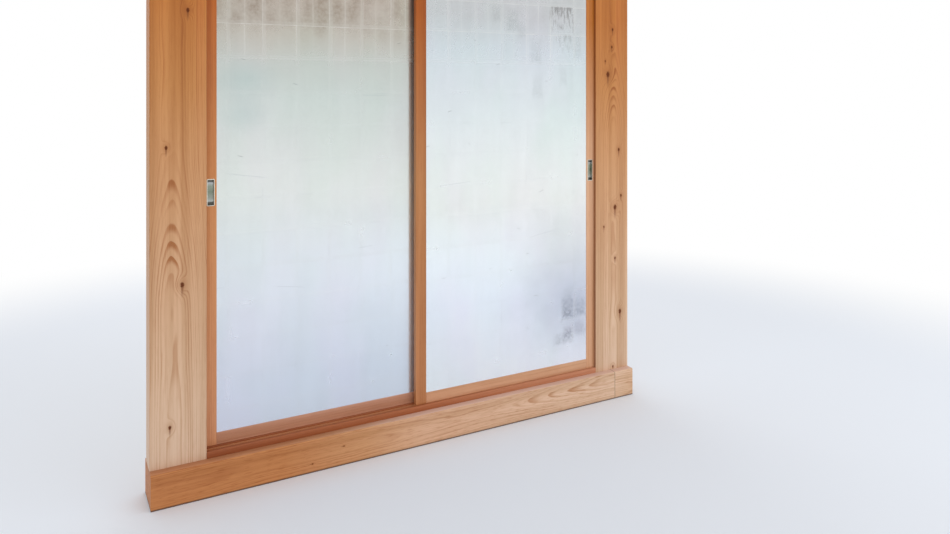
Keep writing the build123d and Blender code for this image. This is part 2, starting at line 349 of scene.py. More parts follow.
def make_leaf_squares():
    """Square sheets of leaf: Position is along and up the panel from a sheet's corner."""
    g, given, result = new_group(
        "leaf_squares",
        [
            ("Position", origin),
            ("Pitch", leaf_pitch),
            ("Lap", leaf_lap),
            ("Wander", leaf_wander),
            ("Ragged", leaf_ragged),
            ("Seed", 0.0),
        ],
        [
            ("Sheet", "Vector"),
            ("Band", "Float"),
            ("Row Line", "Float"),
            ("Column Line", "Float"),
            ("Half Line", "Float"),
            ("Half Core", "Float"),
        ],
    )
    lap_edge, line_width = 0.003, 0.0032
    row_jog, row_draw, half_draw = 0.12, 3.0, 5.0
    seeded = g.vector("ADD", given["Position"], g.join(given["Seed"], 0.0, given["Seed"]))
    slow = g.drift(seeded, detail=1.0, scale=5.0)
    fine = g.drift(seeded, detail=2.0, scale=130.0)
    place = g.vector("ADD", given["Position"], g.vector("SCALE", slow, given["Wander"]))
    place = g.vector("ADD", place, g.vector("SCALE", fine, given["Ragged"]))
    x, y, _ = g.split(place)
    rows = g.ratio(y, given["Pitch"])
    row = g.math("FLOOR", rows)
    jog = g.swing(g.random(g.join(row, row_draw, given["Seed"])), row_jog)
    columns = g.add(g.ratio(x, given["Pitch"]), jog)
    column = g.math("FLOOR", columns)
    g.feed(result["Sheet"], g.random(g.join(column, row, given["Seed"]), "Color"))

    # The laps between sheets, and the fine line along each lap's edge
    bands = []
    for count, name in ((columns, "Column Line"), (rows, "Row Line")):
        inside = g.times(g.math("FRACT", count), given["Pitch"])
        bands.append(g.fade(inside, given["Lap"], g.add(given["Lap"], lap_edge)))
        g.feed(result[name], g.fade(inside, 0.0, line_width))
    g.feed(result["Band"], g.largest(*bands))

    # Lines at the sheets' edges and middles, fainter on some sheets than on others
    halves = g.times(columns, 2.0)
    half = g.absolute(g.minus(g.math("FRACT", halves), 0.5))
    strength = g.random(g.join(g.math("ROUND", halves), row, half_draw))
    g.feed(result["Half Line"], g.times(g.step(half, 0.43, 0.495), strength))
    g.feed(result["Half Core"], g.fade(half, 0.1, 0.46))
    return g.tree


def make_leaf_crinkle():
    """Creases, brush strokes and clouds in leaf, each from 0 to 1."""
    g, given, result = new_group(
        "leaf_crinkle",
        [("Position", origin), ("Seed", 0.0)],
        [
            ("Ridge", "Float"),
            ("Stroke", "Float"),
            ("Brush", "Float"),
            ("Column", "Float"),
            ("Mottle", "Float"),
            ("Cloud", "Float"),
        ],
    )
    ridge_width = 0.02

    # Name, scale along and up the panel, and detail
    upright_textures = (
        ("Stroke", (170.0, 14.0, 1.0), 2.0),
        ("Brush", (95.0, 22.0, 1.0), 3.0),
        ("Column", (14.0, 1.6, 1.0), 3.0),
    )

    # Name, scale and detail
    even_textures = (("Mottle", 85.0, 3.0), ("Cloud", 9.0, 4.0))

    seeded = g.vector("ADD", given["Position"], g.join(given["Seed"], 0.0, given["Seed"]))
    folds = g.stretched_noise(seeded, (46.0, 30.0, 1.0), detail=3.0, distortion=0.6)
    g.feed(result["Ridge"], g.fade(g.absolute(g.minus(folds, 0.5)), 0.0, ridge_width))
    for label, stretch, detail in upright_textures:
        g.feed(result[label], g.stretched_noise(seeded, stretch, detail))
    for label, scale, detail in even_textures:
        g.feed(result[label], g.noise(seeded, scale=scale, detail=detail, roughness=0.6))
    return g.tree


def make_scattered_marks():
    """Short marks, scattered one to a cell, bent a little and turned at random."""
    g, given, result = new_group(
        "scattered_marks",
        [
            ("Position", origin),
            ("Cells", 6.0),
            ("Length", 0.02),
            ("Thickness", 0.0009),
            ("Turn", 0.5),
            ("Chance", 0.3),
            ("Seed", 0.0),
        ],
        [("Mark", "Float")],
    )
    bend = 0.0035
    x, y, _ = g.split(given["Position"])
    flat = g.join(x, y, given["Seed"])
    cells = g.node("TexVoronoi", voronoi_dimensions="2D")
    g.feed(cells.inputs["Vector"], flat)
    g.feed(cells.inputs["Scale"], given["Cells"])
    centre = cells.outputs["Position"]
    kind = g.random(g.vector("ADD", centre, g.join(given["Seed"], 0.0, 0.0)), "Color")
    turn_share, length_share, chance = g.split(kind)

    # Position along and across the mark, turned about the cell's centre
    dx, dy, _ = g.split(g.vector("SUBTRACT", flat, centre))
    dy = g.add(dy, g.times(g.noise(flat, scale=60.0, detail=1.0), bend))
    angle = g.times(g.minus(turn_share, 0.5), given["Turn"], 2.0)
    cosine, sine = g.math("COSINE", angle), g.math("SINE", angle)
    run = g.minus(g.times(dx, cosine), g.times(dy, sine))
    rise = g.add(g.times(dx, sine), g.times(dy, cosine))

    reach = g.times(given["Length"], g.between(length_share, 0.25, 0.75))
    ends = g.fade(g.ratio(g.absolute(run), reach), 0.6, 1.0)
    sides = g.fade(g.ratio(g.absolute(rise), given["Thickness"]), 0.3, 1.0)
    there = g.math("LESS_THAN", chance, given["Chance"])
    g.feed(result["Mark"], g.times(ends, sides, there))
    return g.tree


board_rings = make_board_rings()
wood_fibre = make_wood_fibre()
knot = make_knot()
leaf_squares = make_leaf_squares()
leaf_crinkle = make_leaf_crinkle()
scattered_marks = make_scattered_marks()


# Wood: tones that multiply a board's colour
dull_band, clear_band = (0.91, 0.87, 0.81, 1.0), (1.07, 1.09, 1.12, 1.0)
early_wood, late_wood = (1.05, 1.07, 1.1, 1.0), (0.66, 0.46, 0.3, 1.0)

# Colours that cover it
knot_core, knot_tail = srgb(96, 40, 0), srgb(118, 64, 24)
# Dark joint lines between boards, and painted contact shadow where a board meets the floor
joint_and_contact_shadow = srgb(74, 56, 50)

# Shares of a board's length between which its stripes and its painted side light grow in
heart_band_rise = (0.42, 0.78)
painted_side_light_rise = (0.28, 0.55)

# How deep the painted light at a board's side reaches, and how much oiled wood mirrors
edge_depth = 0.0004
oiled_reflection = 0.35


def board_place(g, node, along):
    """Position across, through and along a board, from the middle of its box."""
    low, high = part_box(node)
    centre = (low + high) / 2
    x, y, z = g.split(g.vector("SUBTRACT", g.coordinates(), tuple(centre)))
    return g.join(x, y, z) if along == "Z" else g.join(z, y, x)


def board_half_size(node, along):
    """Half of a board's size across, through and along it."""
    low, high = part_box(node)
    x, y, z = (high - low) / 2
    return (x, y, z) if along == "Z" else (z, y, x)


def set_knots(g, place, knots):
    """A board's knots together: their push on the rings, and their masks."""
    together = {"Warp": 0.0, "Core": 0.0, "Halo": 0.0, "Tail": 0.0}
    for across, height, radius in knots:
        found = g.use(knot, Position=place, Centre=(across, 0.0, height), Radius=radius)
        together["Warp"] = g.add(together["Warp"], found["Warp"])
        for mask in ("Core", "Halo", "Tail"):
            together[mask] = g.largest(together[mask], found[mask])
    return together


def board_figure(g, rings, fibre, halo, contrast, arches, flecks):
    """A board's ring lines, and all that makes it darker, each as a mask."""
    lines = g.times(
        rings["Rings"],
        g.between(rings["Year"], 0.4, 1.2),
        g.step(fibre["Blotch"], 0.3, 0.65, 0.35, 1.25),
        g.between(rings["Arch"], 1.0, 1.0 + arches),
    )
    amount = g.add(
        g.times(lines, contrast),
        g.times(g.step(fibre["Fleck"], 0.52, 0.68), flecks),
        g.times(g.step(fibre["Streak"], 0.35, 0.75), 0.2),
    )
    amount = g.math("ADD", amount, g.swing(fibre["Fine"], 0.25), clamp=True)
    return lines, g.largest(amount, g.times(halo, 0.55))


def wood(
    node,
    along,
    colours,
    pith,
    taper=origin,
    crown=(0.0, 0.2, 0.0),
    ring_width=0.003,
    waver=0.003,
    knots=(),
    contrast=0.4,
    arches=0.0,
    flecks=0.1,
    heart_bands=(),
    painted_side_light=None,
    dark_lines=(),
    roughness=0.5,
    seed=0.0,
):
    """Planed and oiled wood for one board, measured from the middle of its box.

    along is the axis that the grain runs in, and colours are from the board's low end to
    its high end. pith is the middle of the log, and taper is how far it leans in each
    metre. crown is where the rings close into arches, (place, reach, rise), and knots are
    (across, along, radius). heart_bands are darker or paler stripes that show toward the
    high end, (across, reach, tint). painted_side_light is painted light on the face at one
    side of the board, darker for shade and paler for a highlight, (side, colour, low end's
    strength, high end's strength). dark_lines are dark joint lines where the board meets
    another, and painted contact shadow where it meets the floor, (axis, end, reach), with
    axis 0 across and 2 along.
    """
    material, g, shader = new_material(f"{node}_wood", colours[0][1])
    shader.inputs["Specular IOR Level"].default_value = oiled_reflection
    place = board_place(g, node, along)
    half = board_half_size(node, along)
    axes = g.split(place)
    share = g.add(g.ratio(axes[2], 2 * half[2]), 0.5)
    around = set_knots(g, place, knots)
    rings = g.use(
        board_rings,
        Position=place,
        Pith=pith,
        Taper=taper,
        Crown_Place=crown[0],
        Crown_Reach=crown[1],
        Crown_Rise=crown[2],
        Ring_Width=ring_width,
        Waver=waver,
        Warp=around["Warp"],
    )
    fibre = g.use(wood_fibre, Position=place, Seed=seed)
    lines, figure = board_figure(g, rings, fibre, around["Halo"], contrast, arches, flecks)

    band = g.mix(g.step(fibre["Band"], 0.34, 0.66), dull_band, clear_band)
    colour = g.tint(g.ramp(share, colours), band)
    for centre, reach, tone in heart_bands:
        away = g.ratio(g.absolute(g.minus(axes[0], centre)), reach)
        stripe = g.times(g.fade(away, 0.55, 1.1), g.step(share, *heart_band_rise))
        colour = g.tint(colour, tone, stripe)
    colour = g.tint(colour, g.mix(figure, early_wood, late_wood))
    colour = g.mix(g.times(around["Tail"], 0.65), colour, knot_tail)
    colour = g.mix(g.times(around["Core"], 0.95), colour, knot_core)
    # Painted light on one side face: a darker colour paints shade there, a paler one a highlight
    if painted_side_light:
        side, tone, at_low, at_high = painted_side_light
        on_edge = g.math("GREATER_THAN", g.times(axes[0], side), half[0] - edge_depth)
        strength = g.step(share, *painted_side_light_rise, at_low, at_high)
        colour = g.mix(g.times(on_edge, strength), colour, tone)
    # Dark joint lines, and painted contact shadow along the floor
    for axis, end, reach in dark_lines:
        inside = g.minus(half[axis], g.times(axes[axis], end))
        line = g.fade(inside, reach * 0.5, reach)
        colour = g.mix(g.times(line, 0.85), colour, joint_and_contact_shadow)
    g.feed(shader.inputs["Base Color"], colour)

    dullness = g.add(
        roughness,
        g.swing(fibre["Streak"], 0.22),
        g.times(lines, -0.08),
        g.times(around["Core"], 0.3),
    )
    g.feed(shader.inputs["Roughness"], dullness)
    relief = g.add(g.times(lines, 0.5), g.times(fibre["Fine"], 0.45))
    g.feed(shader.inputs["Normal"], g.bump(relief, strength=0.3, distance=0.0003))
    dress(node, material)


def dress_posts():
    """Wide posts, pale at the foot and redder upward, with small knots; the pale foot is partly
    painted sheen, and each inner side face has painted shade.
    """
    darker, paler, pinker = (0.93, 0.89, 0.8, 1.0), (1.08, 1.1, 1.14, 1.0), (1.02, 0.96, 0.98, 1.0)
    # Painted shade on each post's inner side face, beside the panels
    painted_groove_shade = srgb(128, 66, 32)
    # Pale at the foot and redder upward: the pale foot is partly painted sheen of low light
    post_colours = (
        (0.0, srgb(214, 182, 154)),
        (0.18, srgb(210, 172, 138)),
        (0.42, srgb(203, 152, 108)),
        (0.62, srgb(194, 132, 75)),
        (0.76, srgb(187, 115, 51)),
        (1.0, srgb(184, 112, 47)),
    )
    right_knots = (
        (-0.023, 0.317, 0.0115),
        (0.0, 0.443, 0.0055),
        (0.004, 0.523, 0.0058),
        (-0.038, 0.378, 0.004),
        (0.04, -0.028, 0.0072),
        (0.053, -0.24, 0.0058),
        (0.018, -0.292, 0.0105),
        (-0.046, -0.377, 0.0048),
        (0.018, -0.526, 0.0055),
        (0.047, -0.774, 0.0095),
        (0.006, -1.022, 0.005),
        (-0.036, 0.82, 0.007),
    )
    right_bands = (
        (-0.02, 0.042, darker),
        (-0.074, 0.016, paler),
        (0.036, 0.014, pinker),
        (0.06, 0.017, paler),
    )
    wood(
        "right_post", "Z", post_colours, pith=(0.009, 0.07, 0.0), taper=(0.004, 0.002, 0.0),
        crown=(0.27, 0.24, 0.024), ring_width=0.0034, waver=0.0035, knots=right_knots,
        contrast=0.42, arches=1.5, heart_bands=right_bands, painted_side_light=(-1, painted_groove_shade, 0.6, 0.6),
        seed=3.1,
    )
    left_knots = (
        (0.03, 0.52, 0.007),
        (-0.04, 0.05, 0.006),
        (0.012, -0.42, 0.008),
        (-0.028, -0.9, 0.006),
    )
    left_bands = (
        (0.014, 0.045, darker),
        (-0.06, 0.02, paler),
        (0.072, 0.015, pinker),
    )
    wood(
        "left_post", "Z", post_colours, pith=(-0.02, 0.07, 0.0), taper=(-0.003, 0.002, 0.0),
        crown=(-0.25, 0.3, 0.022), ring_width=0.0034, waver=0.0035, knots=left_knots,
        contrast=0.42, arches=1.2, heart_bands=left_bands, painted_side_light=(1, painted_groove_shade, 0.6, 0.6),
        seed=8.7,
    )


def dress_beam():
    """The base beam and the short length beyond its joint, with a painted highlight on its upper face,
    and paler toward the right as painted light from that side.
    """
    # Painted highlight on the upper face
    painted_top_highlight = srgb(226, 192, 178)
    # Painted contact shadow along the beam's foot, where it meets the floor
    floor_contact_shadow = (0, -1, 0.0065)
    joint_reach = 0.002
    # Darker at the left end and paler to the right, partly painted light from the right
    beam_colours = (
        (0.0, srgb(186, 120, 68)),
        (0.22, srgb(189, 124, 72)),
        (0.38, srgb(197, 143, 98)),
        (0.5, srgb(210, 165, 131)),
        (0.72, srgb(213, 174, 143)),
        (1.0, srgb(219, 186, 158)),
    )
    wood(
        "base_beam", "X", beam_colours, pith=(0.012, 0.035, 0.0), taper=(0.012, 0.004, 0.0),
        crown=(0.62, 0.32, -0.02), ring_width=0.0038, waver=0.0065,
        knots=((-0.028, -0.453, 0.0028), (0.011, -0.333, 0.0026)), contrast=0.42, arches=1.0,
        flecks=0.34, painted_side_light=(1, painted_top_highlight, 0.12, 0.75),
        dark_lines=(floor_contact_shadow, (2, 1, joint_reach)), roughness=0.55, seed=5.3,
    )
    wood(
        "base_beam_end", "X", ((0.0, srgb(219, 185, 156)), (1.0, srgb(216, 178, 146))),
        pith=(-0.02, 0.05, 0.0), taper=(0.05, 0.02, 0.0), ring_width=0.0036, waver=0.006,
        contrast=0.38, flecks=0.3, painted_side_light=(1, painted_top_highlight, 0.75, 0.75),
        dark_lines=(floor_contact_shadow, (2, -1, joint_reach)), roughness=0.55, seed=1.9,
    )


def dress_tracks():
    """Sill and head in darker wood, and the smooth slip strips in their grooves."""
    # Darker at the left end and paler to the right, partly painted light from the right
    sill_colours = (
        (0.0, srgb(152, 84, 48)),
        (0.5, srgb(165, 96, 58)),
        (0.72, srgb(179, 115, 80)),
        (1.0, srgb(188, 126, 92)),
    )
    for node, seed in (("sill", 2.2), ("head", 6.4)):
        wood(
            node, "X", sill_colours, pith=(0.05, 0.16, 0.0), taper=(0.002, 0.006, 0.0),
            ring_width=0.0024, contrast=0.35, roughness=0.42, seed=seed,
        )
    strip_colours = ((0.0, srgb(180, 118, 78)), (1.0, srgb(192, 132, 92)))
    for node, seed in (("front_slip_strip", 4.0), ("rear_slip_strip", 9.0)):
        wood(
            node, "X", strip_colours, pith=(0.0, 0.2, 0.0), ring_width=0.002, waver=0.002,
            contrast=0.25, roughness=0.3, seed=seed,
        )


def dress_panel_wood():
    """Straight grained stiles and rails, redder to the left and toward the top; their paler foot and
    paler right side are partly painted light.
    """
    # Stile colours from the low end up; the paler low ends are partly painted sheen
    left_panel_stile = (srgb(209, 145, 101), srgb(210, 142, 86), srgb(190, 103, 36), srgb(187, 97, 24))
    stiles = {
        "left_panel_left_stile": left_panel_stile,
        "left_panel_right_stile": left_panel_stile,
        "right_panel_left_stile": (
            srgb(190, 127, 81), srgb(189, 128, 77), srgb(169, 85, 14), srgb(166, 82, 10),
        ),
        "right_panel_right_stile": (
            srgb(215, 164, 126), srgb(212, 164, 127), srgb(188, 113, 44), srgb(186, 110, 42),
        ),
    }
    rails = {
        "left_panel_bottom_rail": (srgb(197, 143, 114), srgb(199, 146, 119)),
        "left_panel_top_rail": (srgb(186, 104, 46), srgb(186, 104, 46)),
        "right_panel_bottom_rail": (srgb(199, 143, 105), srgb(210, 163, 127)),
        "right_panel_top_rail": (srgb(182, 108, 46), srgb(186, 112, 48)),
    }
    stile_shares, rail_shares = (0.05, 0.45, 0.78, 1.0), (0.0, 1.0)

    # Each board is cut at a place of its own, on one side of the pith or the other
    for count, (node, shades) in enumerate((stiles | rails).items()):
        along, shares = ("Z", stile_shares) if node in stiles else ("X", rail_shares)
        side = -1 if count % 2 else 1
        wood(
            node, along, tuple(zip(shares, shades)), pith=(side * 0.14, 0.05 + 0.01 * count, 0.0),
            taper=(0.003 * side, 0.001, 0.0), ring_width=0.0024, waver=0.002,
            roughness=0.42, seed=1.3 + 2.7 * count,
        )


def dress_core():
    """Sawn, unfinished strips and plates of the hidden core."""
    core_colours = ((0.0, srgb(214, 176, 128)), (1.0, srgb(210, 170, 122)))
    for panel in panels:
        for count, (piece, along) in enumerate(core_pieces.items()):
            wood(
                f"{panel}_{piece}", along, core_colours, pith=(0.3, 0.2, 0.0), waver=0.004,
                contrast=0.35, roughness=0.7, seed=20.0 + count,
            )


# Silver leaf: heights above the floor between which its lines and its smoke grow in
line_rise = (1.475, 1.56)
smoke_rise = (1.5, 1.74)
ramp_top = 2.2

# Its tones, its lines' colours and its two kinds of short marks
green_cast, pink_cast = (0.974, 1.004, 0.99, 1.0), (1.006, 0.995, 1.012, 1.0)
pale_line, grey_line = srgb(240, 240, 236), srgb(160, 166, 176)
crease_grey, tick_grey = srgb(150, 150, 150), srgb(104, 106, 110)
tick_marks = {"Cells": 6.5, "Length": 0.02, "Thickness": 0.0011, "Turn": 0.4, "Chance": 0.3}
fold_marks = {"Cells": 2.6, "Length": 0.13, "Thickness": 0.0013, "Turn": 0.3, "Chance": 0.45}


def leaf_tint(g, place, z, tints):
    """The leaf's colour by height, in slow waves, as painted reflection of the room, with a faint cast
    of green or pink.
    """
    wave = g.stretched_noise(place, (1.9, 1.5, 1.0), detail=2.0)
    height = g.add(z, g.swing(wave, 0.16))
    stops = tuple((level / ramp_top, tint) for level, tint in tints)
    colour = g.ramp(g.ratio(height, ramp_top), stops)
    drift = g.stretched_noise(place, (3.6, 1.8, 1.0), detail=2.0)
    return g.tint(colour, g.mix(g.step(drift, 0.36, 0.64), green_cast, pink_cast))


def leaf_shade(g, sheet_tone, crinkle):
    """A grey near 1 that sets sheets apart a little and clouds them."""
    shade = g.swing(sheet_tone, 0.016)
    for name, share in (("Column", 0.1), ("Cloud", 0.08), ("Mottle", 0.02), ("Stroke", 0.02)):
        shade = g.add(shade, g.swing(crinkle[name], share))
    shade = g.add(shade, 1.0)
    return g.join(shade, shade, shade)


def leaf_smoke(g, z, sheets, sheet_smoke, crinkle, share):
    """Smoky dulling toward the panel's top, strongest away from the lines, as a mask."""
    smoke = g.times(
        g.step(z, *smoke_rise),
        g.between(sheets["Half Core"], 0.65, 1.0),
        g.between(sheet_smoke, 0.6, 1.1),
        g.step(crinkle["Cloud"], 0.36, 0.62, 0.5, 1.3),
        g.step(crinkle["Mottle"], 0.3, 0.68, 0.7, 1.15),
    )
    return g.math("MULTIPLY", smoke, share, clamp=True)


def leaf_patch_mask(g, x, z, place, crinkle):
    """A patch of leaf as a mask from 0 to 1: a rubbed stretch, or a soft veil.

    place is (x, z, reach across, reach up, texture, strength), and texture is veil, mottle
    or strokes, which hang from the stretch's top edge.
    """
    centre_x, centre_z, wide, tall, texture, strength = place
    across = g.ratio(g.minus(x, centre_x), wide)
    up = g.ratio(g.minus(z, centre_z), tall)
    wobble = g.swing(crinkle["Cloud"], 0.9)
    if texture == "veil":
        away = g.add(g.vector("LENGTH", g.join(across, up, 0.0)), g.times(wobble, 0.35))
        return g.times(g.fade(away, -0.1, 1.2), strength)
    aside = g.absolute(across)
    if texture == "strokes":
        sides = g.fade(g.add(aside, wobble), 0.75, 1.05)
        drop = g.times(g.minus(1.0, up), 0.5)
        hanging = g.minus(crinkle["Brush"], g.times(drop, 0.24))
        return g.times(g.step(hanging, 0.3, 0.58), g.fade(up, 0.92, 1.02), sides, strength)
    ragged = g.swing(crinkle["Brush"], 0.9)
    reach = g.largest(aside, g.absolute(g.add(up, ragged)))
    inside = g.fade(g.add(reach, g.times(wobble, 0.6)), 0.45, 1.2)
    rubbed = g.step(crinkle["Mottle"], 0.32, 0.6, 0.35, 1.0)
    fainter_above = g.step(up, -1.0, 1.0, 1.0, 0.5)
    return g.times(inside, rubbed, fainter_above, strength)


def apply_leaf_patches(g, x, z, colour, leaf_patches, crinkle):
    """The colour changed at the patches, with masks of the rubbed ones and of the veils."""
    rubbed, veiled = 0.0, 0.0
    for tone, places in leaf_patches:
        for place in places:
            mask = leaf_patch_mask(g, x, z, place, crinkle)
            colour = g.mix(mask, colour, tone)
            texture = place[4]
            if texture == "veil":
                veiled = g.largest(veiled, mask)
            else:
                rubbed = g.largest(rubbed, mask)
    return colour, rubbed, veiled


def lap_strength(g, z, rubbed, veiled):
    """How strongly the sheets' edges show: toward the top, at rubbed places and at veils."""
    strong = g.math("MAXIMUM", g.step(z, *line_rise), g.times(rubbed, 2.0), clamp=True)
    return g.largest(strong, g.step(veiled, 0.42, 0.62))


def lap_lines(g, sheets, crinkle, strong):
    """Pale lines and bands where sheets lap, and grey lines in some patches, as masks."""
    gate = g.step(crinkle["Cloud"], 0.44, 0.62)
    thin = g.step(crinkle["Column"], 0.4, 0.58, 0.35, 1.0)
    faint = g.add(g.times(gate, 0.16), g.times(strong, thin, 0.34))
    pale = g.largest(
        g.times(sheets["Row Line"], g.add(faint, g.times(strong, 0.14))),
        g.times(sheets["Column Line"], faint),
        g.times(sheets["Half Line"], strong, thin, 0.26),
        g.times(sheets["Band"], g.between(strong, 0.03, 0.08)),
    )
    either_line = g.largest(sheets["Row Line"], sheets["Column Line"])
    grey = g.times(either_line, g.step(crinkle["Cloud"], 0.3, 0.46, 0.2, 0.0))
    return pale, grey


def silver_leaf(panel, tints, smoke_colour, smoke_share, leaf_patches, column_start, seed):
    """Sheets of leaf on a panel's front, dulled toward the top and worn or veiled in places.

    tints are (height, colour), a painted reflection of the room by height; leaf_patches holds a
    colour with the places that it covers, and column_start is where a column of sheets begins.
    """
    material, g, shader = new_material(f"{panel}_silver_leaf", srgb(210, 216, 220))
    x, _, z = g.split(g.coordinates())
    place = g.join(g.minus(x, column_start), g.minus(z, leaf_row_height), 0.0)
    sheets = g.use(leaf_squares, Position=place, Seed=seed)
    crinkle = g.use(leaf_crinkle, Position=place, Seed=seed)
    ticks = g.use(scattered_marks, Position=place, Seed=seed, **tick_marks)["Mark"]
    folds = g.use(scattered_marks, Position=place, Seed=seed + 4.0, **fold_marks)["Mark"]
    sheet_tone, sheet_smoke, _ = g.split(sheets["Sheet"])

    colour = g.tint(leaf_tint(g, place, z, tints), leaf_shade(g, sheet_tone, crinkle))
    smoke = leaf_smoke(g, z, sheets, sheet_smoke, crinkle, smoke_share)
    colour = g.mix(smoke, colour, smoke_colour)
    colour, rubbed, veiled = apply_leaf_patches(g, x, z, colour, leaf_patches, crinkle)
    strong = lap_strength(g, z, rubbed, veiled)
    pale, grey = lap_lines(g, sheets, crinkle, strong)
    colour = g.mix(pale, colour, pale_line)
    colour = g.mix(grey, colour, grey_line)
    crease = g.times(crinkle["Ridge"], g.step(z, *smoke_rise, 0.03, 0.1))
    colour = g.mix(crease, colour, crease_grey)
    colour = g.mix(g.times(ticks, 0.55), colour, tick_grey)
    colour = g.mix(g.times(folds, 0.28), colour, grey_line)
    g.feed(shader.inputs["Base Color"], colour)

    rough = g.add(
        0.2,
        g.times(sheets["Band"], 0.05),
        g.swing(crinkle["Cloud"], 0.12),
        g.swing(sheet_smoke, 0.03),
        g.times(strong, 0.08),
    )
    g.feed(shader.inputs["Roughness"], rough)
    shader.inputs["Metallic"].default_value = 0.78
    relief = g.add(
        g.times(sheets["Band"], 0.3),
        g.times(crinkle["Ridge"], 0.25),
        g.times(crinkle["Cloud"], 2.2),
        g.times(crinkle["Stroke"], 0.2),
        g.times(folds, 0.4),
    )
    g.feed(shader.inputs["Normal"], g.bump(relief, strength=0.25, distance=0.0005))
    dress(f"{panel}_front_face", material)


def dress_left_leaf():
    """Leaf with a brownish smoke at the top and a faint green veil of painted reflection at its left.
    """
    # Painted reflection by height: bluish low down where the floor is mirrored, warm grey toward the
    # top
    tints = (
        (0.30, srgb(229, 235, 247)),
        (0.62, srgb(237, 240, 246)),
        (1.00, srgb(230, 233, 230)),
        (1.36, srgb(207, 214, 211)),
        (1.50, srgb(200, 204, 199)),
        (1.62, srgb(198, 195, 184)),
        (1.78, srgb(196, 186, 173)),
        (2.10, srgb(202, 196, 190)),
    )
    # The faint green veil at the left is painted reflection
    brown_smoke, painted_green_reflection = srgb(142, 124, 108), srgb(168, 194, 192)
    green_reflection_patches = ((-0.7, 1.44, 0.13, 0.09, "veil", 0.4), (-0.71, 1.31, 0.1, 0.08, "veil", 0.3))
    silver_leaf(
        "left_panel", tints, smoke_colour=brown_smoke, smoke_share=0.5,
        leaf_patches=((painted_green_reflection, green_reflection_patches),), column_start=-0.0098, seed=3.0,
    )


def dress_right_leaf():
    """Paler leaf with streaks at its upper right and a rubbed place at its lower right, under a
    lavender veil of painted reflection.
    """
    # Painted reflection by height: bluish low down where the floor is mirrored, warm grey toward the
    # top
    tints = (
        (0.16, srgb(248, 251, 255)),
        (0.50, srgb(244, 247, 255)),
        (0.92, srgb(241, 243, 240)),
        (1.30, srgb(224, 233, 234)),
        (1.56, srgb(212, 220, 226)),
        (1.70, srgb(206, 208, 211)),
        (2.10, srgb(205, 204, 202)),
    )
    smudges = (
        (0.413, 1.7, 0.032, 0.055, "mottle", 0.3),
        (0.462, 1.66, 0.026, 0.036, "mottle", 0.2),
        (0.336, 1.725, 0.028, 0.04, "mottle", 0.24),
        (0.53, 1.57, 0.034, 0.06, "mottle", 0.22),
        (0.54, 1.42, 0.03, 0.055, "mottle", 0.16),
        (0.756, 1.6, 0.026, 0.07, "mottle", 0.2),
        (0.676, 1.467, 0.024, 0.05, "mottle", 0.14),
    )
    rubbed_squares = (
        (0.7, 0.424, 0.034, 0.05, "mottle", 0.58),
        (0.766, 0.425, 0.036, 0.044, "mottle", 0.44),
        (0.704, 0.318, 0.03, 0.03, "mottle", 0.46),
        (0.768, 0.33, 0.028, 0.036, "mottle", 0.2),
        (0.68, 0.298, 0.056, 0.028, "mottle", 0.32),
        (0.703, 0.49, 0.03, 0.036, "mottle", 0.2),
    )
    beige_veil = (0.7, 0.65, 0.35, 0.28, "veil", 0.38)
    # Painted reflection: a lavender veil low down where the floor is mirrored
    painted_lavender_reflection = (0.76, 0.44, 0.4, 0.27, "veil", 0.58)
    lilac_patch = (0.74, 0.345, 0.07, 0.034, "mottle", 0.34)
    streaks = ((0.668, 1.71, 0.066, 0.06, "strokes", 0.55), (0.69, 1.6, 0.04, 0.045, "strokes", 0.2))
    leaf_patches = (
        (srgb(140, 148, 148), smudges),
        (srgb(186, 186, 180), (beige_veil,)),
        (srgb(176, 182, 200), (painted_lavender_reflection,)),
        (srgb(168, 160, 178), (lilac_patch,)),
        (srgb(112, 116, 128), rubbed_squares),
        (srgb(110, 106, 104), streaks),
    )
    grey_smoke = srgb(158, 156, 154)
    silver_leaf(
        "right_panel", tints, smoke_colour=grey_smoke, smoke_share=0.16, leaf_patches=leaf_patches,
        column_start=0.096, seed=14.0,
    )


# Paper on the panels' backs
paper_fibres = (
    {"Cells": 55.0, "Length": 0.03, "Thickness": 0.0005, "Turn": 3.1, "Chance": 0.75, "Seed": 2.0},
    {"Cells": 38.0, "Length": 0.045, "Thickness": 0.0006, "Turn": 3.1, "Chance": 0.7, "Seed": 9.0},
)


def backing_paper():
    """Matt cream paper with long pale fibres."""
    material, g, shader = new_material("backing_paper", srgb(232, 227, 214))
    x, _, z = g.split(g.coordinates())
    flat = g.join(x, z, 0.0)
    cloud = g.noise(flat, scale=14.0, detail=5.0, roughness=0.6)
    strands = g.largest(
        *(g.use(scattered_marks, Position=flat, **marks)["Mark"] for marks in paper_fibres)
    )
    colour = g.mix(g.step(cloud, 0.3, 0.7), srgb(233, 228, 214), srgb(224, 217, 200))
    colour = g.mix(g.times(strands, 0.35), colour, srgb(245, 241, 230))
    g.feed(shader.inputs["Base Color"], colour)
    shader.inputs["Roughness"].default_value = 0.85
    shader.inputs["Specular IOR Level"].default_value = 0.2
    relief = g.add(g.times(strands, 0.6), g.noise(flat, scale=420.0, detail=3.0))
    g.feed(shader.inputs["Normal"], g.bump(relief, strength=0.3, distance=0.0003))
    for panel in panels:
        dress(f"{panel}_back_face", material)


# Satin metal of the pulls and their pins
worn_bright = srgb(226, 224, 216)


def metal_grain(g, place):
    """Brushed grain and soft clouding, each from 0 to 1."""
    brushed = g.stretched_noise(place, (2600.0, 2600.0, 60.0), detail=2.0)
    return brushed, g.noise(place, scale=55.0, detail=3.0)


def finish_metal(g, shader, colour, brushed, cloud):
    """Brushes a colour of metal brighter in fine lines, and gives it a satin shine."""
    g.feed(shader.inputs["Base Color"], g.mix(g.times(brushed, 0.2), colour, worn_bright))
    shader.inputs["Metallic"].default_value = 1.0
    g.feed(shader.inputs["Roughness"], g.add(0.28, g.swing(brushed, 0.2), g.swing(cloud, 0.15)))
    g.feed(shader.inputs["Normal"], g.bump(brushed, strength=0.2, distance=0.00008))


